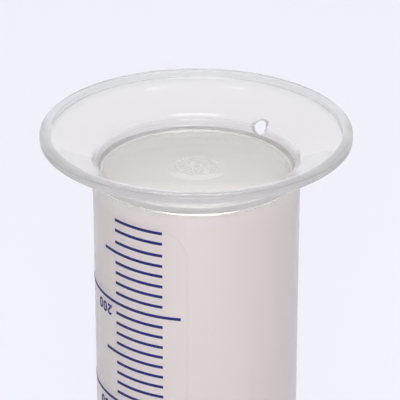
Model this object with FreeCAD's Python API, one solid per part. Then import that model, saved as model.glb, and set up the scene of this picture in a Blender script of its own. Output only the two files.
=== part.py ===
"""Low-form 1000 ml graduated cylinder, standing upside down to drain.

One translucent polypropylene moulding with a printed scale.  +Z runs from the
mouth (z = 0, on the bench) up to the hollow flared foot.  The axis of the tube
is the Z axis.  An azimuth is measured from -Y, positive towards +X.
The moulding is written in sections that meet face to face; the ink is a set of
thin separate solids that lie on the tube.
"""

import FreeCAD, Part
import math
import os

Vec = FreeCAD.Vector

# ---- overall ---------------------------------------------------------------
headroom = 22.27              # mouth plane to the line for the full capacity
foot_depth = 15.85            # standing face down to the closed end's outer face

# ---- tube ------------------------------------------------------------------
tube_outer_radius = 40.4
wall_thickness = 2.3
closed_end_thickness = 2.6    # thickness of the closed end
inner_corner_radius = 3.0     # fillet inside the vessel, at the closed end
closed_end_skirt = 8.0        # length of wall that is made with the closed end

# ---- injection gate on the closed end --------------------------------------
gate_dish_radius = 14.0
gate_dish_depth = 0.35
gate_pad_radius = 7.7
gate_pad_height = 0.15
gate_stub_radius = 0.9
gate_stub_height = 0.45

# ---- flared foot -----------------------------------------------------------
flare_slope = 27.7            # degrees above the horizontal
flare_thickness = 2.4         # measured square to the slope
throat_radius = 3.7           # rounding where the throat turns into the flare
throat_corner_radius = 1.1    # fillet in the throat, round the closed end
flare_root_height = 2.3       # closed end's face to the flare's underside at the tube
flare_root_radius = 2.8       # fillet under the flare, at the tube
foot_outer_radius = 60.4
foot_rim_width = 4.0
foot_rim_height = 3.5         # height of the rim's outer face
foot_rim_top_round = 1.3      # outer edge of the face that stands on the bench
foot_rim_low_round = 0.6
foot_rim_inner_round = 0.5
foot_rim_root_radius = 1.2    # fillet where the flare's upper face meets the rim

# ---- drain hole through the foot's throat -----------------------------------
drain_azimuth = 140.0
drain_width = 7.0
drain_height = 5.7
drain_tilt = 26.0             # the hole runs down and outwards
drain_floor_above_end = 0.1   # its lowest point in the throat, above the closed end

# ---- mouth and pouring spout -----------------------------------------------
mouth_bead_width = 1.2        # the bead stands out from the tube by this much
mouth_bead_height = 4.0
mouth_bead_round = 0.6
spout_azimuth = 34.25         # a quarter turn from the middle of the scale
spout_reach = 10.5            # how far the lip stands out from the tube at the mouth
spout_cone_radius = 20.0      # radius of the spout's cone at the mouth plane
spout_height = 26.0
spout_wall = 2.0

# ---- graduations -----------------------------------------------------------
capacity_ml = 1000
minor_step_ml = 20
medium_step_ml = 100
major_step_ml = 200
first_mark_ml = 40
low_mark_lift = 0.65          # the lines nearest the foot sit this much nearer to it
low_mark_limit_ml = 60
mark_start = -18.7            # degrees; minor and medium lines start here
minor_end = -50.3
medium_end = -59.8
major_start = -8.5
major_end = -103.0
line_width = 1.2
ink_thickness = 0.1

# ---- print panel, a shallow recess that the scale lies in --------------------
panel_depth = 0.15
panel_margin = 3.5            # degrees beyond the long lines on both sides
panel_top_margin = 1.6        # above the line nearest the foot
panel_bottom_margin = 2.7     # below the unit
panel_corner_radius = 12.0

# ---- numerals --------------------------------------------------------------
numeral_height = 4.5
numeral_width = 2.9
numeral_pitch = 3.7
numeral_stroke = 0.9
numeral_gap = 2.2             # from the line to the numeral's foot
unit_m_width = 4.2            # the letter m is wider than a numeral
numeral_start = -54.6         # azimuth of the numeral's first edge
unit_gap = 1.6                # from the last numeral to the unit
hook_start = -40.0            # degrees; the round head of the numeral 2
hook_sweep = 200.0

overshoot = 1.0               # cutting tools reach this far past what they cut

# ---- levels and radii that follow ---------------------------------------------
bore_radius = tube_outer_radius - wall_thickness
height_per_ml = 1000.0 / (math.pi * bore_radius ** 2)
inner_end_z = headroom + capacity_ml * height_per_ml
end_face_z = inner_end_z + closed_end_thickness
total_height = end_face_z + foot_depth
tube_top_z = end_face_z - closed_end_skirt
spout_axis_radius = tube_outer_radius + spout_reach - spout_cone_radius
spout_top_radius = tube_outer_radius - spout_axis_radius
panel_radius = tube_outer_radius - panel_depth
ink_radius = panel_radius + ink_thickness
rim_seam_radius = foot_outer_radius - foot_rim_width - foot_rim_root_radius


def polar(radius, azimuth, z):
    """Point at an azimuth measured from -Y towards +X, in degrees."""
    a = math.radians(azimuth)
    return Vec(radius * math.sin(a), -radius * math.cos(a), z)


def corner_arc(before, corner, after, radius):
    """Tangent points and middle point of the arc that rounds one corner."""
    to_before = (before - corner).normalize()
    to_after = (after - corner).normalize()
    half = to_before.getAngle(to_after) / 2
    start = corner + to_before * (radius / math.tan(half))
    end = corner + to_after * (radius / math.tan(half))
    bisector = (to_before + to_after).normalize()
    centre = corner + bisector * (radius / math.sin(half))
    return start, centre - bisector * radius, end


def rounded_face(corners):
    """Face in the XZ plane; each corner is (r, z) or (r, z, rounding radius)."""
    points = [Vec(c[0], 0, c[1]) for c in corners]
    radii = [c[2] if len(c) > 2 else 0 for c in corners]
    edges = []
    ends = []
    for i, corner in enumerate(points):
        if radii[i] > 0:
            after = points[(i + 1) % len(points)]
            start, middle, end = corner_arc(points[i - 1], corner, after, radii[i])
            ends.append((start, middle, end))
        else:
            ends.append((corner, None, corner))
    for i, (start, middle, end) in enumerate(ends):
        if middle is not None:
            edges.append(Part.Arc(start, middle, end).toShape())
        edges.append(Part.LineSegment(end, ends[(i + 1) % len(ends)][0]).toShape())
    return Part.Face(Part.Wire(edges))


def revolved(corners):
    """Full turn of a rounded profile about the Z axis."""
    return rounded_face(corners).revolve(Vec(0, 0, 0), Vec(0, 0, 1), 360)


def ring_sector(inner, outer, z_low, z_high, start, end):
    """Part of a ring between two azimuths."""
    corners = [(inner, z_low), (outer, z_low), (outer, z_high), (inner, z_high)]
    sector = rounded_face(corners).revolve(Vec(0, 0, 0), Vec(0, 0, 1), abs(end - start))
    sector.rotate(Vec(0, 0, 0), Vec(0, 0, 1), min(start, end) - 90)
    return sector


def cylinder(radius, z_low, z_high):
    """Upright cylinder on the Z axis."""
    return Part.makeCylinder(radius, z_high - z_low, Vec(0, 0, z_low))


def save(shape, node):
    """Write one node and print what it holds."""
    shape.exportStep("parts/" + node + ".step")
    print(node, len(shape.Solids), "solids", round(shape.Volume, 1), "mm3", shape.isValid())


# ---- levels of the scale -----------------------------------------------------
def mark_z(volume_ml):
    """Height of the line for one volume: the vessel is a plain cylinder."""
    z = inner_end_z - volume_ml * height_per_ml
    if volume_ml <= low_mark_limit_ml:
        z += low_mark_lift
    return z


def text_foot_z(volume_ml):
    """Height of a numeral's foot, next to its line."""
    return mark_z(volume_ml) - line_width / 2 - numeral_gap


panel_top_z = mark_z(first_mark_ml) + panel_top_margin
unit_foot_z = text_foot_z(capacity_ml) - numeral_height - unit_gap
panel_bottom_z = unit_foot_z - numeral_height - panel_bottom_margin


# ---- pouring spout -------------------------------------------------------------
def spout_cone(inset):
    """Cone that opens towards the mouth, moved inwards by a wall thickness."""
    growth = (spout_cone_radius - spout_top_radius) / spout_height
    low_radius = spout_cone_radius - inset + overshoot * growth
    cone = Part.makeCone(
        low_radius,
        spout_top_radius - inset,
        spout_height + overshoot,
        polar(spout_axis_radius, spout_azimuth, -overshoot),
    )
    return cone


def above_bench(shape):
    """Keep what lies above the mouth plane."""
    size = 4 * foot_outer_radius
    block = Part.makeBox(size, size, total_height, Vec(-size / 2, -size / 2, 0))
    return shape.common(block)


def make_pouring_spout():
    """Conical lip outside the tube, open along its inner side."""
    shell = spout_cone(0).cut(spout_cone(spout_wall))
    shell = shell.cut(cylinder(tube_outer_radius, -2 * overshoot, total_height))
    return above_bench(shell)


def make_mouth_bead():
    """Rounded bead round the mouth, broken where the spout stands."""
    corners = [
        (tube_outer_radius, 0),
        (tube_outer_radius + mouth_bead_width, 0, mouth_bead_round),
        (tube_outer_radius + mouth_bead_width, mouth_bead_height, mouth_bead_round),
        (tube_outer_radius, mouth_bead_height),
    ]
    return revolved(corners).cut(spout_cone(0))


# ---- tube and print panel --------------------------------------------------------
def panel_corner(edge, inward, level, upward):
    """What comes off one corner of the panel's block to round it."""
    turn = math.degrees(math.asin(panel_corner_radius / tube_outer_radius))
    middle = edge + inward * turn
    beyond = edge - inward
    middle_z = level - upward * panel_corner_radius
    low_z, high_z = sorted((middle_z, level + upward * overshoot))
    outer = tube_outer_radius + 2 * overshoot
    block = ring_sector(panel_radius - overshoot, outer, low_z, high_z, middle, beyond)
    bar = Part.makeCylinder(
        panel_corner_radius, 2 * tube_outer_radius, Vec(0, 0, middle_z), polar(1, middle, 0)
    )
    return block.cut(bar)


def panel_tool():
    """Thin curved block with rounded corners that is cut from the tube."""
    first = major_start + panel_margin
    last = major_end - panel_margin
    outer = tube_outer_radius + overshoot
    tool = ring_sector(panel_radius, outer, panel_bottom_z, panel_top_z, first, last)
    for edge, inward in ((first, -1), (last, 1)):
        for level, upward in ((panel_top_z, 1), (panel_bottom_z, -1)):
            tool = tool.cut(panel_corner(edge, inward, level, upward))
    return tool


def make_tube_wall():
    """Straight wall from the mouth to the closed end's skirt."""
    tube = cylinder(tube_outer_radius, 0, tube_top_z).cut(cylinder(bore_radius, -overshoot, total_height))
    tube = tube.cut(spout_cone(spout_wall))
    return tube.cut(panel_tool())


def below_seam():
    """All that belongs to the closed end: the seam runs from the middle of the
    throat's fillet down to the outside of the tube."""
    rise = throat_corner_radius * (1 - math.sqrt(0.5))
    seam_radius = bore_radius - rise
    fall = rise / (tube_outer_radius - seam_radius)
    return revolved([
        (0, 0),
        (tube_outer_radius + overshoot, 0),
        (tube_outer_radius + overshoot, end_face_z - fall * overshoot),
        (seam_radius, end_face_z + rise),
        (0, end_face_z + closed_end_thickness),
    ])


def make_closed_end():
    """Closed end with a short skirt of wall, the inner corner and the gate mark."""
    outer = tube_outer_radius
    above_seam_z = end_face_z + closed_end_thickness
    end = revolved([
        (0, inner_end_z),
        (bore_radius, inner_end_z, inner_corner_radius),
        (bore_radius, tube_top_z),
        (outer, tube_top_z),
        (outer, above_seam_z),
        (bore_radius, above_seam_z),
        (bore_radius, end_face_z, throat_corner_radius),
        (0, end_face_z),
    ]).common(below_seam())
    ball_radius = (gate_dish_radius ** 2 + gate_dish_depth ** 2) / (2 * gate_dish_depth)
    ball_z = end_face_z - gate_dish_depth + ball_radius
    end = end.cut(Part.makeSphere(ball_radius, Vec(0, 0, ball_z)))
    floor_z = end_face_z - gate_dish_depth
    root_z = floor_z - closed_end_thickness / 4
    pad = cylinder(gate_pad_radius, root_z, floor_z + gate_pad_height)
    stub = cylinder(gate_stub_radius, root_z, floor_z + gate_pad_height + gate_stub_height)
    end = end.fuse(pad).fuse(stub).removeSplitter()
    return end.cut(drain_tool())


# ---- foot --------------------------------------------------------------------------
def flare_under_z(radius):
    """Height of the flare's underside at a radius."""
    rise = (radius - tube_outer_radius) * math.tan(math.radians(flare_slope))
    return end_face_z + flare_root_height + rise


def flare_top_z(radius):
    """Height of the flare's upper face at a radius."""
    return flare_under_z(radius) + flare_thickness / math.cos(math.radians(flare_slope))


def drain_tool():
    """Oval bar that runs through the throat, down and outwards."""
    half_gap = (drain_width - drain_height) / 2
    length = 4 * drain_height
    bars = []
    for side in (-half_gap, half_gap):
        bars.append(Part.makeCylinder(drain_height / 2, length, Vec(0, side, -length / 2), Vec(0, 0, 1)))
    web = Part.makeBox(
        drain_height, 2 * half_gap, length, Vec(-drain_height / 2, -half_gap, -length / 2)
    )
    tool = bars[0].fuse(bars[1]).fuse(web).removeSplitter()
    tool.rotate(Vec(0, 0, 0), Vec(0, 1, 0), 90 + drain_tilt)
    half = drain_height / 2 / math.cos(math.radians(drain_tilt))
    tool.translate(Vec(bore_radius, 0, end_face_z + drain_floor_above_end + half))
    tool.rotate(Vec(0, 0, 0), Vec(0, 0, 1), drain_azimuth - 90)
    return tool


def make_foot_flare():
    """Throat and cone-shaped flare, with the drain hole at its root."""
    flare = revolved([
        (0, end_face_z),
        (0, inner_end_z),
        (tube_outer_radius, inner_end_z),
        (tube_outer_radius, flare_under_z(tube_outer_radius), flare_root_radius),
        (rim_seam_radius, flare_under_z(rim_seam_radius)),
        (rim_seam_radius, flare_top_z(rim_seam_radius)),
        (bore_radius, flare_top_z(bore_radius), throat_radius),
        (bore_radius, end_face_z, throat_corner_radius),
    ])
    return flare.cut(below_seam()).cut(drain_tool())


def make_foot_rim():
    """Thick rim round the foot; its upper face is what the cylinder stands on."""
    inner = foot_outer_radius - foot_rim_width
    rim_low_z = total_height - foot_rim_height
    return revolved([
        (rim_seam_radius, flare_under_z(rim_seam_radius)),
        (inner, flare_under_z(inner)),
        (foot_outer_radius, rim_low_z, foot_rim_low_round),
        (foot_outer_radius, total_height, foot_rim_top_round),
        (inner, total_height, foot_rim_inner_round),
        (inner, flare_top_z(inner), foot_rim_root_radius),
        (rim_seam_radius, flare_top_z(rim_seam_radius)),
    ])


# ---- printed lines -------------------------------------------------------------------
def line(volume_ml, start, end):
    """One graduation line."""
    z = mark_z(volume_ml)
    return ring_sector(panel_radius, ink_radius, z - line_width / 2, z + line_width / 2, start, end)


def make_minor_marks():
    """Short lines, all but the labelled and half-way volumes."""
    volumes = range(first_mark_ml, capacity_ml + 1, minor_step_ml)
    return Part.makeCompound([line(v, mark_start, minor_end) for v in volumes if v % medium_step_ml])


def make_medium_marks():
    """Longer lines half way between the numerals."""
    volumes = range(medium_step_ml, capacity_ml + 1, medium_step_ml)
    return Part.makeCompound([line(v, mark_start, medium_end) for v in volumes if v % major_step_ml])


def make_major_marks():
    """Lines that run round half the tube at each numeral."""
    volumes = range(major_step_ml, capacity_ml + 1, major_step_ml)
    return Part.makeCompound([line(v, major_start, major_end) for v in volumes])


# ---- numerals: flat bars and rings, x to the right and z up as read ----------------------
def bar(x0, z0, x1, z1):
    """Straight stroke with round ends."""
    depth = 2 * wall_thickness
    along = Vec(x1 - x0, 0, z1 - z0)
    box = Part.makeBox(along.Length, depth, numeral_stroke, Vec(0, -depth / 2, -numeral_stroke / 2))
    box.rotate(Vec(0, 0, 0), Vec(0, 1, 0), -math.degrees(math.atan2(along.z, along.x)))
    box.translate(Vec(x0, 0, z0))
    ends = []
    for x, z in ((x0, z0), (x1, z1)):
        ends.append(Part.makeCylinder(numeral_stroke / 2, depth, Vec(x, -depth / 2, z), Vec(0, 1, 0)))
    return box.fuse(ends)


def ring(x, z, radius, start=0.0, sweep=360.0):
    """Round stroke; start and sweep in degrees, anticlockwise as read."""
    depth = 2 * wall_thickness
    base = Vec(0, -depth / 2, 0)
    outer = Part.makeCylinder(radius + numeral_stroke / 2, depth, base, Vec(0, 1, 0), sweep)
    inner = Part.makeCylinder(radius - numeral_stroke / 2, depth, base, Vec(0, 1, 0), 360)
    stroke = outer.cut(inner)
    stroke.rotate(Vec(0, 0, 0), Vec(0, 1, 0), 90 - start - sweep)
    stroke.translate(Vec(x, 0, z))
    return stroke


# centre lines of the strokes: left, right, foot and top of a numeral
left = numeral_stroke / 2
right = numeral_width - numeral_stroke / 2
foot = numeral_stroke / 2
top = numeral_height - numeral_stroke / 2
middle = numeral_width / 2
bowl = (right - left) / 2


def strokes_0():
    return [
        ring(middle, top - bowl, bowl, 0, 180),
        ring(middle, foot + bowl, bowl, 180, 180),
        bar(left, foot + bowl, left, top - bowl),
        bar(right, foot + bowl, right, top - bowl),
    ]


def strokes_1():
    stem = left + 1.3 * bowl
    return [
        bar(stem, foot, stem, top),
        bar(stem, top, left + 0.3 * bowl, top - 0.8 * bowl),
    ]


def strokes_2():
    turn = math.radians(hook_start)
    x = middle + bowl * math.cos(turn)
    z = top - bowl + bowl * math.sin(turn)
    return [
        ring(middle, top - bowl, bowl, hook_start, hook_sweep),
        bar(x, z, left, foot),
        bar(left, foot, right, foot),
    ]


def strokes_4():
    stem = left + 1.4 * bowl
    cross = foot + 0.3 * (top - foot)
    return [
        bar(stem, foot, stem, top),
        bar(stem, top, left, cross),
        bar(left, cross, right, cross),
    ]


def strokes_6():
    return [
        ring(middle, foot + bowl, bowl),
        bar(left, foot + bowl, middle + 0.3 * bowl, top),
    ]


def strokes_8():
    upper = (top - foot) / 2 - bowl
    return [
        ring(middle, foot + bowl, bowl),
        ring(middle, top - upper, upper),
    ]


def strokes_m():
    arch = (unit_m_width - numeral_stroke) / 4
    height = foot + 0.62 * (top - foot)
    return [
        bar(middle - 2 * arch, foot, middle - 2 * arch, height),
        bar(middle, foot, middle, height - arch),
        bar(middle + 2 * arch, foot, middle + 2 * arch, height - arch),
        ring(middle - arch, height - arch, arch, 0, 180),
        ring(middle + arch, height - arch, arch, 0, 180),
    ]


def strokes_l():
    return [bar(middle, foot, middle, top)]


STROKES = {
    "0": strokes_0,
    "1": strokes_1,
    "2": strokes_2,
    "4": strokes_4,
    "6": strokes_6,
    "8": strokes_8,
    "m": strokes_m,
    "l": strokes_l,
}


def ink_text(text, foot_z):
    """Text that reads upright when the cylinder stands on its foot."""
    skin = cylinder(ink_radius, foot_z - 2 * numeral_height, foot_z + overshoot)
    skin = skin.cut(cylinder(panel_radius, foot_z - 3 * numeral_height, foot_z + 2 * overshoot))
    solids = []
    for i, letter in enumerate(text):
        strokes = STROKES[letter]()
        glyph = strokes[0].fuse(strokes[1:]) if len(strokes) > 1 else strokes[0]
        glyph.translate(Vec(-middle, 0, 0))
        glyph.rotate(Vec(0, 0, 0), Vec(0, 1, 0), 180)
        glyph.translate(Vec(0, -panel_radius, foot_z))
        along = i * numeral_pitch + middle
        azimuth = numeral_start - math.degrees(along / panel_radius)
        glyph.rotate(Vec(0, 0, 0), Vec(0, 0, 1), azimuth)
        solids += glyph.common(skin).removeSplitter().Solids
    return Part.makeCompound(solids)


# ---- write the nodes ---------------------------------------------------------------------
os.makedirs("parts", exist_ok=True)
save(make_tube_wall(), "tube_wall")
save(make_closed_end(), "closed_end")
save(make_foot_flare(), "foot_flare")
save(make_foot_rim(), "foot_rim")
save(make_mouth_bead(), "mouth_bead")
save(make_pouring_spout(), "pouring_spout")
save(make_minor_marks(), "minor_marks")
save(make_medium_marks(), "medium_marks")
save(make_major_marks(), "major_marks")
for labelled_ml in range(major_step_ml, capacity_ml + 1, major_step_ml):
    save(ink_text(str(labelled_ml), text_foot_z(labelled_ml)), "numeral_" + str(labelled_ml))
save(ink_text("ml", unit_foot_z), "unit_mark")
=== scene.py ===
# %% [markdown]
# # A measuring cylinder of natural polypropylene, standing upside down
# The real object is a single injection moulding: a straight tube, a closed end,
# a hollow flared foot and, at the other end, a mouth with a spout. A blue scale
# is printed on the tube. It drains with its mouth on the bench and its foot up.
# The scene is built in that order: helpers, camera and light, the moulding, then
# the two finishes, clear milky plastic and printing ink.
#
# The solid model comes first. Loading it as a fixed frame keeps every size true:
# what is modelled here is drawn round the solids and takes its place from them.

import math

import bpy
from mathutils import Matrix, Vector


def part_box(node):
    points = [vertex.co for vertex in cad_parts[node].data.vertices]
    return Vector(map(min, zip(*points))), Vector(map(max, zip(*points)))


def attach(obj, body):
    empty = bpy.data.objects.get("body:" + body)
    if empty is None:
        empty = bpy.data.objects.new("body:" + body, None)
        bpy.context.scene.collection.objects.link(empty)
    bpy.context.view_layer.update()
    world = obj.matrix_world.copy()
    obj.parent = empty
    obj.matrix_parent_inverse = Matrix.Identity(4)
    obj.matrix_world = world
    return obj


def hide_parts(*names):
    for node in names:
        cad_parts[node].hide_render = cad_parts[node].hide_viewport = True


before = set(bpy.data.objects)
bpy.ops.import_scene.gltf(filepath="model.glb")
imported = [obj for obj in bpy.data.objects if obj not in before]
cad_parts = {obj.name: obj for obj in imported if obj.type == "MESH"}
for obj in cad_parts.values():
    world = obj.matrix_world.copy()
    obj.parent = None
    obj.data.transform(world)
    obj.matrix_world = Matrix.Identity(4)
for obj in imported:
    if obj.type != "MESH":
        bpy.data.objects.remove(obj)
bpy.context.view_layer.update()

# %% [markdown]
# ## Helpers
# Blender works in metres, and the cylinder is described in millimetres, so every
# length is written as a number times MM. Operators act on all that is selected,
# so each piece starts from an empty selection. Points are chosen by where they
# lie, which a script can do where a hand would click.

# %% Units and selection helpers
MM = 0.001
FULL_TURN = math.tau


def deselect_everything():
    """Leaves nothing selected, so that an operator meets only the new piece."""
    bpy.ops.object.select_all(action="DESELECT")


def make_active(piece):
    """Selects one piece alone."""
    deselect_everything()
    piece.select_set(True)
    bpy.context.view_layer.objects.active = piece


def choose_points(piece, wanted):
    """Opens edit mode with only the points selected whose place, in millimetres, is wanted."""
    make_active(piece)
    bpy.ops.object.mode_set(mode="EDIT")
    bpy.ops.mesh.select_mode(type="VERT")
    bpy.ops.mesh.select_all(action="DESELECT")
    bpy.ops.object.mode_set(mode="OBJECT")
    for vertex in piece.data.vertices:
        vertex.select = wanted(vertex.co / MM)
    bpy.ops.object.mode_set(mode="EDIT")


def leave_edit_mode():
    """Goes back to object mode, where the mesh can be read."""
    bpy.ops.object.mode_set(mode="OBJECT")


def apply_modifier(piece, kind, **settings):
    """Adds one modifier, sets it up and applies it."""
    make_active(piece)
    modifier = piece.modifiers.new(kind.title(), kind)
    for name, value in settings.items():
        setattr(modifier, name, value)
    bpy.ops.object.modifier_apply(modifier=modifier.name)


def settle(piece):
    """Moves a piece's place into its mesh, so that its object sits at the origin."""
    make_active(piece)
    bpy.ops.object.transform_apply(location=True, rotation=True, scale=True)


def delete(piece):
    """Removes a cutter once it has done its work."""
    bpy.data.objects.remove(piece, do_unlink=True)


def low(node):
    """Lowest corner of a CAD node, in millimetres."""
    return Vector(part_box(node)[0]) / MM


def high(node):
    """Highest corner of a CAD node, in millimetres."""
    return Vector(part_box(node)[1]) / MM


# %% [markdown]
# ## Sizes from the frame
# The cylinder's main sizes are read from the solids, so that the visual model
# can't drift from them. The flare starts at the closed end's outer face, which
# makes the flare's lowest level the place that everything at the foot is
# measured from.

# %% Main sizes
END_FACE = low("foot_flare").z
FOOT_TOP = high("foot_rim").z
FOOT_RADIUS = high("foot_rim").x
TUBE_RADIUS = high("tube_wall").x
BEAD_RADIUS = high("mouth_bead").x
BEAD_HEIGHT = high("mouth_bead").z
print("closed end at", round(END_FACE, 2), "foot top", round(FOOT_TOP, 2))
print("tube radius", round(TUBE_RADIUS, 2), "foot radius", round(FOOT_RADIUS, 2))

# %% [markdown]
# ## Shader expressions
# Shader maths reads best as ordinary expressions. The class below wraps one
# socket of a node, and its operators add Math nodes, so that a mask can be
# written as 1 - mask * 0.5 instead of as a chain of boxes.

# %% Wires and shaders
class Wire:
    """One output socket, with arithmetic."""

    def __init__(self, tree, socket):
        self.tree = tree
        self.socket = socket

    def math(self, operation, *values, clamp=False):
        settings = {"operation": operation, "use_clamp": clamp}
        return self.tree.node("ShaderNodeMath", settings, dict(enumerate((self, *values))))

    def __add__(self, other):
        return self.math("ADD", other)

    def __radd__(self, other):
        return self + other

    def __sub__(self, other):
        return self.math("SUBTRACT", other)

    def __rsub__(self, other):
        return self * -1 + other

    def __mul__(self, other):
        return self.math("MULTIPLY", other)

    def __rmul__(self, other):
        return self * other

    def __pow__(self, other):
        return self.math("POWER", other)

    def clamped(self):
        return self.math("ADD", 0.0, clamp=True)

    def ramp(self, low, high):
        """0 below low, 1 above high, smooth between."""
        settings = {"interpolation_type": "SMOOTHSTEP"}
        values = {"Value": self, "From Min": low, "From Max": high}
        return self.tree.node("ShaderNodeMapRange", settings, values)


class Shader:
    """A node tree of a material or the world, emptied and ready to fill."""

    def __init__(self, owner):
        owner.use_nodes = True
        self.tree = owner.node_tree
        self.tree.nodes.clear()

    def node(self, kind, settings=None, values=None, output=0):
        """Adds any node: its settings first, then the values or wires of its sockets."""
        made = self.tree.nodes.new(kind)
        for name, value in (settings or {}).items():
            setattr(made, name, value)
        for name, value in (values or {}).items():
            if isinstance(value, Wire):
                self.tree.links.new(value.socket, made.inputs[name])
            else:
                made.inputs[name].default_value = value
        return Wire(self, made.outputs[output])

    def mix_colour(self, amount, first, second):
        """Blend of two colours."""
        settings = {"data_type": "RGBA"}
        values = {0: amount, 6: first, 7: second}
        return self.node("ShaderNodeMix", settings, values, output=2)

    def split(self, vector):
        """The three coordinates of a vector."""
        made = self.tree.nodes.new("ShaderNodeSeparateXYZ")
        self.tree.links.new(vector.socket, made.inputs[0])
        return [Wire(self, out) for out in made.outputs]

    def object_place(self):
        """Object coordinates, which are metres in the cylinder's own frame."""
        return self.node("ShaderNodeTexCoord", output=3)

    def noise(self, place, scale, detail=3.0, roughness=0.55):
        """Soft random pattern from 0 to 1; scale is in lumps per metre."""
        values = {"Vector": place, "Scale": scale, "Detail": detail, "Roughness": roughness}
        return self.node("ShaderNodeTexNoise", None, values)

    def finish(self, surface, volume=None):
        """Joins a surface, and a volume where there is one, to the output."""
        out = self.tree.nodes.new("ShaderNodeOutputMaterial")
        self.tree.links.new(surface.socket, out.inputs["Surface"])
        if volume is not None:
            self.tree.links.new(volume.socket, out.inputs["Volume"])


def material(name):
    """A new material and the shader that fills it."""
    made = bpy.data.materials.new(name)
    return made, Shader(made)


def dress(piece, finish):
    """Gives a piece one material."""
    piece.data.materials.clear()
    piece.data.materials.append(finish)


# %% [markdown]
# ## Camera
# A long lens from a metre away, 26 degrees above the horizon, keeps the tube's
# sides nearly parallel. The camera looks at a point just below the closed end, so
# that the foot fills the upper half of the view and the tube runs out of it. It
# could be placed by hand in the viewport. Working its place out from a pivot, an
# angle and a distance makes each of the three easy to change alone.

# %% Camera
AIM_BELOW_END = 18.0
CAMERA_DISTANCE = 985.1
CAMERA_ELEVATION = math.radians(25.9)
CAMERA_LENS = 226.72
AIM_RIGHT = 1.45
AIM_UP = 2.77

pivot = Vector((0, 0, END_FACE - AIM_BELOW_END))
back = Vector((0, -math.cos(CAMERA_ELEVATION), math.sin(CAMERA_ELEVATION)))
camera_up = Vector((0, math.sin(CAMERA_ELEVATION), math.cos(CAMERA_ELEVATION)))
camera_place = (pivot + back * CAMERA_DISTANCE) * MM
target = (pivot + camera_up * AIM_UP + Vector((AIM_RIGHT, 0, 0))) * MM

deselect_everything()
bpy.ops.object.camera_add(location=camera_place)
camera = bpy.context.object
camera.name = "studio_camera"
camera.rotation_mode = "QUATERNION"
camera.rotation_quaternion = (target - camera_place).to_track_quat("-Z", "Y")
camera.data.lens = CAMERA_LENS
camera.data.sensor_width = 36.0
bpy.context.scene.camera = camera
bpy.context.scene.view_settings.view_transform = "Standard"
print("camera at", [round(c, 3) for c in camera_place])

# %% [markdown]
# ## Floor and light
# A white sweep under soft light. The floor is a plain matt sheet that takes the
# object's shadow. The world gives most of the light; it is bright at and below
# the horizon and dimmer overhead, and that difference is what draws the edges of
# clear plastic. An evenly white world would be simpler, but clear plastic all
# but disappears in it.

# %% Floor
PAPER = (0.835, 0.832, 0.890, 1.0)

deselect_everything()
bpy.ops.mesh.primitive_plane_add(size=12.0, location=(0, 0, 0))
floor = bpy.context.object
floor.name = "studio_floor"
floor_paint, shader = material("studio_paper")
paper = shader.node("ShaderNodeBsdfDiffuse", None, {"Color": PAPER, "Roughness": 0.5})
shader.finish(paper)
dress(floor, floor_paint)

# %% World
BACKGROUND = (0.875, 0.870, 0.930, 1.0)

world = bpy.data.worlds.new("studio_world")
bpy.context.scene.world = world
shader = Shader(world)
direction = shader.node("ShaderNodeTexCoord", output=0)
height = shader.split(direction)[2]
overhead = height.ramp(0.05, 0.75)
studio = shader.mix_colour(overhead, (0.85, 0.85, 0.85, 1.0), (0.65, 0.65, 0.65, 1.0))
seen = shader.node("ShaderNodeLightPath", output=0)
colour = shader.mix_colour(seen, studio, BACKGROUND)
sky = shader.node("ShaderNodeBackground", None, {"Color": colour, "Strength": 1.0})
out = shader.tree.nodes.new("ShaderNodeOutputWorld")
shader.tree.links.new(sky.socket, out.inputs["Surface"])

# %% [markdown]
# Four lamps finish the light. One wide lamp hangs over the cylinder and gives
# the short highlights on its rounded corners. One behind it washes the paper, and
# a weak one in front lifts the side that faces the camera. A small low one, far
# behind, is mirrored only in the near slope of the shallow dish in the closed end,
# and so draws the dish. Each is a square area lamp, because a point lamp would
# leave hard sparks on the plastic.

# %% Lamps
def soft_lamp(name, place, aim, size, power):
    """A square lamp that faces a point; power in watts."""
    deselect_everything()
    bpy.ops.object.light_add(type="AREA", location=place)
    lamp = bpy.context.object
    lamp.name = name
    lamp.rotation_mode = "QUATERNION"
    lamp.rotation_quaternion = (Vector(aim) - Vector(place)).to_track_quat("-Z", "Y")
    lamp.data.size = size
    lamp.data.energy = power
    return lamp


foot_centre = (0, 0, END_FACE * MM)
soft_lamp("overhead_lamp", (0.0, -0.42, 1.75), foot_centre, 0.95, 9.0)
soft_lamp("wash_lamp", (0.0, 1.25, 2.0), (0.0, 0.9, 0.0), 0.6, 9.0)
soft_lamp("fill_lamp", (0.0, -1.3, 0.2), (0.0, 0.0, 0.2), 0.8, 7.5)
soft_lamp("low_lamp", (0.0, 2.0, 0.93), foot_centre, 0.25, 0.15)

# %% [markdown]
# ## The moulding
# The tube, its closed end and the foot are one wall of plastic, made in one shot
# in a mould. They could be modelled as separate rings and joined, but clear
# plastic shows every inner face where two pieces meet. So the vessel is one body
# of revolution, turned like a pot on a wheel: its half section is drawn as a
# chain of points, the corners are rounded, and the chain is spun round the axis.
# Starting and ending on the axis closes the skin.

# %% Half section of the vessel
WALL = 2.3
END_THICKNESS = 2.6
RIM_WIDTH = 4.0
RIM_HEIGHT = 3.5
FLARE_ANGLE = math.radians(27.7)
FLARE_THICKNESS = 2.4
ROOT_HEIGHT = 2.3
STUB_RADIUS = 0.9
STUB_HEIGHT = 0.25
PAD_RADIUS = 7.7
PAD_DEPTH = 0.2
TURNS = 192

BORE_RADIUS = TUBE_RADIUS - WALL
INNER_END = END_FACE - END_THICKNESS
RIM_INNER = FOOT_RADIUS - RIM_WIDTH


def flare_under(radius):
    """Height of the flare's underside at a radius."""
    return END_FACE + ROOT_HEIGHT + (radius - TUBE_RADIUS) * math.tan(FLARE_ANGLE)


def flare_top(radius):
    """Height of the flare's upper face at a radius."""
    return flare_under(radius) + FLARE_THICKNESS / math.cos(FLARE_ANGLE)


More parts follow.
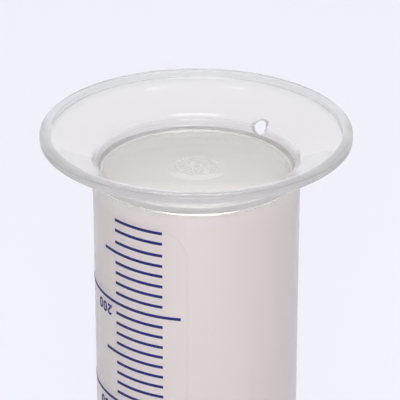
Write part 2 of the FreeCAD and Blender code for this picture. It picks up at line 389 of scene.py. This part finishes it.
# Each corner of the half section: radius, height, rounding. It starts on the
# gate's stub, crosses the torn pad round it and climbs out of the shallow dish.
SECTION = [
    (0.0, END_FACE + STUB_HEIGHT, 0),
    (STUB_RADIUS, END_FACE + STUB_HEIGHT, 0),
    (STUB_RADIUS, END_FACE - PAD_DEPTH, 0),
    (PAD_RADIUS, END_FACE - PAD_DEPTH, 0),
    (PAD_RADIUS, END_FACE - 0.244, 0),
    (9.5, END_FACE - 0.189, 0),
    (11.0, END_FACE - 0.134, 0),
    (12.5, END_FACE - 0.071, 0),
    (14.0, END_FACE, 0),
    (BORE_RADIUS, END_FACE, 1.1),
    (BORE_RADIUS, flare_top(BORE_RADIUS), 3.7),
    (RIM_INNER, flare_top(RIM_INNER), 1.2),
    (RIM_INNER, FOOT_TOP, 0.5),
    (FOOT_RADIUS, FOOT_TOP, 1.3),
    (FOOT_RADIUS, FOOT_TOP - RIM_HEIGHT, 0.6),
    (RIM_INNER, flare_under(RIM_INNER), 0),
    (TUBE_RADIUS, flare_under(TUBE_RADIUS), 2.8),
    (TUBE_RADIUS, BEAD_HEIGHT, 0.3),
    (BEAD_RADIUS, BEAD_HEIGHT, 0.6),
    (BEAD_RADIUS, 0.0, 0.6),
    (BORE_RADIUS, 0.0, 0.4),
    (BORE_RADIUS, INNER_END, 3.0),
    (0.0, INNER_END, 0),
]
print("bore radius", round(BORE_RADIUS, 2), "inner end at", round(INNER_END, 2))

# %% [markdown]
# A corner is rounded by a vertex bevel, which asks how far back along each side
# the rounding starts. That reach follows from the radius and from how sharply
# the chain turns, so the section can be described by radii, as a drawing is.


# %% Draw and round the section
def chain_of_points(name, points):
    """A new mesh that is an open chain of points in the XZ plane."""
    deselect_everything()
    first = Vector((points[0][0], 0, points[0][1])) * MM
    bpy.ops.mesh.primitive_plane_add(size=MM, location=first)
    piece = bpy.context.object
    piece.name = name
    bpy.ops.object.mode_set(mode="EDIT")
    bpy.ops.mesh.select_all(action="SELECT")
    bpy.ops.mesh.merge(type="CENTER")
    for start, end in zip(points, points[1:]):
        step = Vector((end[0] - start[0], 0, end[1] - start[1])) * MM
        bpy.ops.mesh.extrude_vertices_move(TRANSFORM_OT_translate={"value": step})
    leave_edit_mode()
    settle(piece)
    return piece


def tangent_reach(before, corner, after, radius):
    """Distance from a corner to where its rounding starts."""
    a = Vector((before[0] - corner[0], before[1] - corner[1])).normalized()
    b = Vector((after[0] - corner[0], after[1] - corner[1])).normalized()
    return radius / math.tan(a.angle(b) / 2)


def round_corner(piece, corner, reach, segments):
    """Bevels the one point of the chain that lies at a corner."""
    spot = Vector((corner[0], 0, corner[1]))
    choose_points(piece, lambda place: (place - spot).length < 0.01)
    bpy.ops.mesh.bevel(affect="VERTICES", offset=reach * MM, segments=segments)
    leave_edit_mode()


vessel = chain_of_points("vessel", [corner[:2] for corner in SECTION])
for i, corner in enumerate(SECTION):
    if corner[2]:
        reach = tangent_reach(SECTION[i - 1], corner, SECTION[i + 1], corner[2])
        round_corner(vessel, corner, reach, 10 if corner[2] > 2 else 6)
print("points in the half section", len(vessel.data.vertices))

# %% Spin the section
choose_points(vessel, lambda place: True)
bpy.ops.mesh.spin(steps=TURNS, angle=FULL_TURN, center=(0, 0, 0), axis=(0, 0, 1))
bpy.ops.mesh.select_all(action="SELECT")
bpy.ops.mesh.remove_doubles(threshold=0.001 * MM)
bpy.ops.mesh.normals_make_consistent(inside=False)
leave_edit_mode()
print("vessel faces", len(vessel.data.polygons))

# %% [markdown]
# ## The pouring spout
# The lip is a cone that leans out through the wall and opens towards the mouth.
# It could be pulled out of the wall with proportional editing, which is quick but
# hard to repeat. Two booleans follow the mould instead: half of the cone is added
# to the outside, and a smaller cone is then taken away, which opens the channel
# through the wall. The outer cone first loses what would lie inside the bore.

# %% Spout cones
SPOUT_MOUTH_RADIUS = 20.0
SPOUT_WALL = 2.0

lip_high, lip_low = high("pouring_spout"), low("pouring_spout")
SPOUT_HEIGHT = lip_high.z
mouth_centre = Vector((lip_high.x - SPOUT_MOUTH_RADIUS, lip_low.y + SPOUT_MOUTH_RADIUS))
SPOUT_TOP_RADIUS = TUBE_RADIUS - mouth_centre.length


def spout_cone(inset, below):
    """Cone that stands at the mouth; below is how far it runs past the mouth plane."""
    growth = (SPOUT_MOUTH_RADIUS - SPOUT_TOP_RADIUS) / SPOUT_HEIGHT
    deselect_everything()
    bpy.ops.mesh.primitive_cone_add(
        vertices=128,
        radius1=(SPOUT_MOUTH_RADIUS - inset + below * growth) * MM,
        radius2=(SPOUT_TOP_RADIUS - inset) * MM,
        depth=(SPOUT_HEIGHT + below) * MM,
        location=Vector((*mouth_centre, (SPOUT_HEIGHT - below) / 2)) * MM,
    )
    cone = bpy.context.object
    settle(cone)
    return cone


# %% Add the lip and open the channel
lip = spout_cone(0, 0)
deselect_everything()
bpy.ops.mesh.primitive_cylinder_add(vertices=96, radius=(TUBE_RADIUS - WALL / 2) * MM, depth=0.2)
inside_of_wall = bpy.context.object
apply_modifier(lip, "BOOLEAN", operation="DIFFERENCE", solver="EXACT", object=inside_of_wall)
apply_modifier(vessel, "BOOLEAN", operation="UNION", solver="EXACT", object=lip)
channel = spout_cone(SPOUT_WALL, 1.0)
apply_modifier(vessel, "BOOLEAN", operation="DIFFERENCE", solver="EXACT", object=channel)
for cutter in (lip, inside_of_wall, channel):
    delete(cutter)
print("with spout", len(vessel.data.polygons))

# %% [markdown]
# ## The print panel
# The scale lies in a recess so shallow that only its edge shows, as a fine line
# down the tube. It could be faked with a bump, but a bump throws no real edge in
# clear plastic, so it is cut. The cutter is a flat sheet of the recess's outline
# with rounded corners, given a thickness and then bent round the tube by a Simple
# Deform modifier, as a sticker bends. It reaches a few degrees past the long marks
# and holds every line, numeral and letter. It is cut into as many columns as the
# tube has facets there, so that it bends as smoothly as the tube is round.

# %% Panel cutter
PANEL_DEPTH = 0.15
PANEL_MARGIN = 3.5
PANEL_CORNER = 12.0
INK_THICKNESS = 0.1

PANEL_RADIUS = TUBE_RADIUS - PANEL_DEPTH
PANEL_RIGHT = math.degrees(math.asin(high("major_marks").x / PANEL_RADIUS)) + PANEL_MARGIN
ink_radius = PANEL_RADIUS + INK_THICKNESS
PANEL_LEFT = -math.degrees(math.acos(-high("major_marks").y / ink_radius)) - PANEL_MARGIN
PANEL_TOP = high("minor_marks").z + 1.0
PANEL_BOTTOM = low("unit_mark").z - 2.7
panel_sweep = math.radians(PANEL_RIGHT - PANEL_LEFT)
panel_width = panel_sweep * PANEL_RADIUS
panel_height = PANEL_TOP - PANEL_BOTTOM

deselect_everything()
bpy.ops.mesh.primitive_plane_add(size=1.0, rotation=(math.pi / 2, 0, 0))
panel = bpy.context.object
panel.dimensions = (panel_width * MM, panel_height * MM, 0)
settle(panel)
choose_points(panel, lambda place: True)
bpy.ops.mesh.bevel(affect="VERTICES", offset=PANEL_CORNER * MM, segments=16)
columns = int(TURNS * panel_sweep / FULL_TURN)
for i in range(1, columns):
    x = (i / columns - 0.5) * panel_width * MM
    bpy.ops.mesh.select_all(action="SELECT")
    bpy.ops.mesh.bisect(plane_co=(x, 0, 0), plane_no=(1, 0, 0))
leave_edit_mode()
print("panel from", round(PANEL_LEFT, 1), "to", round(PANEL_RIGHT, 1), "degrees,", columns, "columns")

# %% Bend the cutter and cut
apply_modifier(panel, "SOLIDIFY", thickness=1.0 * MM, offset=1.0)
apply_modifier(panel, "SIMPLE_DEFORM", deform_method="BEND", deform_axis="Z", angle=panel_sweep)
panel.location = (0, -PANEL_RADIUS * MM, (PANEL_TOP + PANEL_BOTTOM) / 2 * MM)
settle(panel)
panel.rotation_euler = (0, 0, math.radians((PANEL_RIGHT + PANEL_LEFT) / 2))
settle(panel)
choose_points(panel, lambda place: True)
bpy.ops.mesh.normals_make_consistent(inside=False)
leave_edit_mode()
radii = [Vector(v.co.xy).length / MM for v in panel.data.vertices]
print("cutter radii", round(min(radii), 3), round(max(radii), 3))
apply_modifier(vessel, "BOOLEAN", operation="DIFFERENCE", solver="EXACT", object=panel)
delete(panel)
print("with panel", len(vessel.data.polygons))

# %% [markdown]
# ## The drain hole
# Rinse water collects in the upturned foot, over the closed end. An oval hole at
# the throat lets it out. It slopes down and outwards. The cutter starts as a round
# bar; pulling its two halves apart makes the section oval, and laying it down and
# turning it to its azimuth puts it through the throat.

# %% Drain hole
DRAIN_AZIMUTH = 140.0
DRAIN_WIDTH = 7.0
DRAIN_HEIGHT = 5.7
DRAIN_TILT = math.radians(26.0)

deselect_everything()
bpy.ops.mesh.primitive_cylinder_add(vertices=48, radius=DRAIN_HEIGHT / 2 * MM, depth=24 * MM)
drain = bpy.context.object
for side in (-1, 1):
    choose_points(drain, lambda place: place.y * side > 0)
    bpy.ops.transform.translate(value=(0, side * (DRAIN_WIDTH - DRAIN_HEIGHT) / 2 * MM, 0))
    leave_edit_mode()
drain.rotation_euler = (0, math.pi / 2 + DRAIN_TILT, 0)
settle(drain)
rise = DRAIN_HEIGHT / 2 / math.cos(DRAIN_TILT)
drain.location = (BORE_RADIUS * MM, 0, (END_FACE + 0.1 + rise) * MM)
settle(drain)
drain.rotation_euler = (0, 0, math.radians(DRAIN_AZIMUTH - 90))
settle(drain)
print("drain bar", [round(side / MM, 1) for side in drain.dimensions])
apply_modifier(vessel, "BOOLEAN", operation="DIFFERENCE", solver="EXACT", object=drain)
delete(drain)
print("with drain", len(vessel.data.polygons))

# %% [markdown]
# The vessel is whole. Smooth shading with a limit on the angle keeps the cut
# edges crisp and the turned surfaces round. The piece then stands for the six
# plastic solids, which stay in the frame, hidden.

# %% Finish the moulding
make_active(vessel)
bpy.ops.object.shade_smooth_by_angle(angle=math.radians(32))
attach(vessel, "root")
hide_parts("tube_wall", "closed_end", "foot_flare", "foot_rim", "mouth_bead", "pouring_spout")
print("vessel triangles", sum(len(face.vertices) - 2 for face in vessel.data.polygons))

# %% [markdown]
# ## Natural polypropylene: where the finish changes
# Thin polypropylene is clear but milky: most light passes and is spread a little,
# and some is scattered back as a soft warm white. The tube was drawn off a matt
# core and looks frosted. The foot and the closed end came off polished steel and
# look like glass. One material serves the whole piece, because its skin has no
# seam, and masks say where each look holds. Each mask is a ramp on height or
# radius in the cylinder's own frame.

# %% Masks
plastic, shader = material("natural_polypropylene")
place = shader.object_place()
x, y, z = shader.split(place)
radius = (x * x + y * y) ** 0.5


def above(start, full):
    """0 below a level and 1 above another; millimetres from the closed end's outer face."""
    return z.ramp((END_FACE + start) * MM, (END_FACE + full) * MM)


def outside(start, full):
    """0 inside a radius and 1 outside another; millimetres."""
    return radius.ramp(start * MM, full * MM)


# The clear foot, and the clear closed end that lies inside the bore.
foot = above(-3.65, 0.35)
over_bore = 1 - outside(BORE_RADIUS + 0.3, BORE_RADIUS + 1.1)
polished_end = above(-9.65, -5.65) * over_bore
clarity = (foot + polished_end).clamped()
# The thick rim, the flare's root, the flat end face, and the gate's torn pad.
rim = foot * outside(RIM_INNER - 1.0, RIM_INNER + 0.5)
root = above(-2.15, -0.55) * (1 - above(1.35, 2.35)) * (1 - over_bore)
end_face = above(-1.65, -0.65) * (1 - outside(36.0, 38.0))
gate_pad = end_face * (1 - outside(PAD_RADIUS - 0.1, PAD_RADIUS + 1.1))

# %% [markdown]
# The step round the print panel is so low that only its edge shows. The fine
# darker line along it is painted shade: a darker tint in a thin band. Its mask is
# the distance to a rectangle with rounded corners, measured on the unrolled tube:
# along the arc and up.

# %% Panel edge mask, painted shade
arc = x.math("ARCTAN2", y * -1) * (TUBE_RADIUS * MM)
arc_middle = math.radians((PANEL_RIGHT + PANEL_LEFT) / 2) * TUBE_RADIUS
half_width = panel_sweep * TUBE_RADIUS / 2 - PANEL_CORNER
half_height = panel_height / 2 - PANEL_CORNER
across = (arc - arc_middle * MM).math("ABSOLUTE") - half_width * MM
along = (z - (PANEL_TOP + PANEL_BOTTOM) / 2 * MM).math("ABSOLUTE") - half_height * MM
outer_part = (across.math("MAXIMUM", 0.0) ** 2 + along.math("MAXIMUM", 0.0) ** 2) ** 0.5
inner_part = across.math("MAXIMUM", along).math("MINIMUM", 0.0)
from_edge = (outer_part + inner_part - PANEL_CORNER * MM).math("ABSOLUTE")
panel_edge_shade = (1 - from_edge.ramp(0.1 * MM, 0.45 * MM)) * outside(BORE_RADIUS + 0.8, BORE_RADIUS + 1.4)

# %% [markdown]
# ## Natural polypropylene: relief
# A moulding is never quite flat. It has a long swell from shrinkage, a finer
# cloudiness, faint rings on the closed end where the mould was turned on a lathe,
# and a torn round patch where the plastic was fed in. These are far too fine to
# model, so they are a bump. The same noise marks a few white flecks on the torn
# patch for the body below: painted glints, partly the white of stressed plastic.

# %% Relief
swell = shader.noise(place, 120.0, detail=1.0)
cloud = shader.noise(place, 90.0)
torn = shader.noise(place, 700.0)
whitening_and_glint = torn.ramp(0.57, 0.64)
turned = (radius * 1900.0 + swell * 3.0).math("SINE")
relief = swell * 0.01 + cloud * 0.01 + end_face * turned * 0.001 + gate_pad * torn * 0.35
surface_normal = shader.node("ShaderNodeBump", None, {"Height": relief, "Distance": 0.001})

# %% [markdown]
# ## Natural polypropylene: body
# Subsurface scattering would be the textbook choice, but it can't also let the
# eye see through. So the surface is a mix: a transmitting body, rougher on the
# tube than on the foot, and a milky share that passes and returns soft light. The
# share grows on the foot, at the flare's root and on the torn pad. A weak
# absorption in the volume gives long paths their warm tint.

# %% Polypropylene
tint = shader.mix_colour(foot, (0.973, 0.927, 0.892, 1.0), (1.0, 0.99, 0.975, 1.0))
# Painted shade: the closed end is tinted darker than the rest of the foot.
tint = shader.mix_colour(polished_end, tint, (0.925, 0.905, 0.89, 1.0))
# Painted shade: the thick rim is tinted a darker blue-grey, for the dark sky it shows by internal
# reflection.
tint = shader.mix_colour(rim, tint, (0.86, 0.88, 0.89, 1.0))
# Painted shade: a darker tint in a thin line along the print panel's edge.
tint = shader.mix_colour(panel_edge_shade, tint, (0.85, 0.82, 0.80, 1.0))
clear = shader.node(
    "ShaderNodeBsdfPrincipled",
    None,
    {
        "Base Color": tint,
        "Normal": surface_normal,
        "Roughness": 0.33 - clarity * 0.27 + rim * 0.05 + root * 0.1 + cloud * 0.03,
        "IOR": 1.49,
        "Transmission Weight": 1.0,
        "Coat Weight": 0.2,
        "Coat Roughness": 0.06,
    },
)
through = shader.node("ShaderNodeBsdfTranslucent", None, {"Color": (1.0, 0.985, 0.975, 1.0)})
back = shader.node("ShaderNodeBsdfDiffuse", None, {"Color": (0.99, 0.985, 0.99, 1.0)})
milky = shader.node("ShaderNodeMixShader", None, {0: 0.4, 1: through, 2: back})
# On the torn pad the white flecks are painted glints, partly the white of stressed plastic.
share = 0.03 + foot * 0.17 + root * 0.3 + gate_pad * (0.3 + whitening_and_glint * 0.68) + cloud * 0.04
body = shader.node("ShaderNodeMixShader", None, {0: share, 1: clear, 2: milky})
warm_grey = (0.70, 0.68, 0.66, 1.0)
haze = shader.node("ShaderNodeVolumeAbsorption", None, {"Color": warm_grey, "Density": 18.0})
shader.finish(body, haze)
dress(vessel, plastic)

# %% [markdown]
# ## Printing ink
# The scale is a film of navy ink. The marks and numbers are solids of the frame,
# and their shape is right, so they stay and only get a finish. Real screen
# printing is never quite even: the film is a little thinner here and there, and
# a little glossier where it is thick, so one noise drives colour, gloss and bump.

# %% Ink
ink, shader = material("navy_ink")
place = shader.object_place()
film = shader.noise(place, 900.0)
colour = shader.mix_colour(film, (0.003, 0.008, 0.100, 1.0), (0.008, 0.016, 0.165, 1.0))
printed = shader.node(
    "ShaderNodeBsdfPrincipled",
    None,
    {
        "Base Color": colour,
        "Roughness": 0.45 + film * 0.15,
        "Specular IOR Level": 0.3,
        "Normal": shader.node("ShaderNodeBump", None, {"Height": film, "Distance": 0.00002}),
    },
)
shader.finish(printed)
INK_NODES = [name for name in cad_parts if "mark" in name or "numeral" in name]
for name in INK_NODES:
    dress(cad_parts[name], ink)
print("ink nodes", len(INK_NODES))
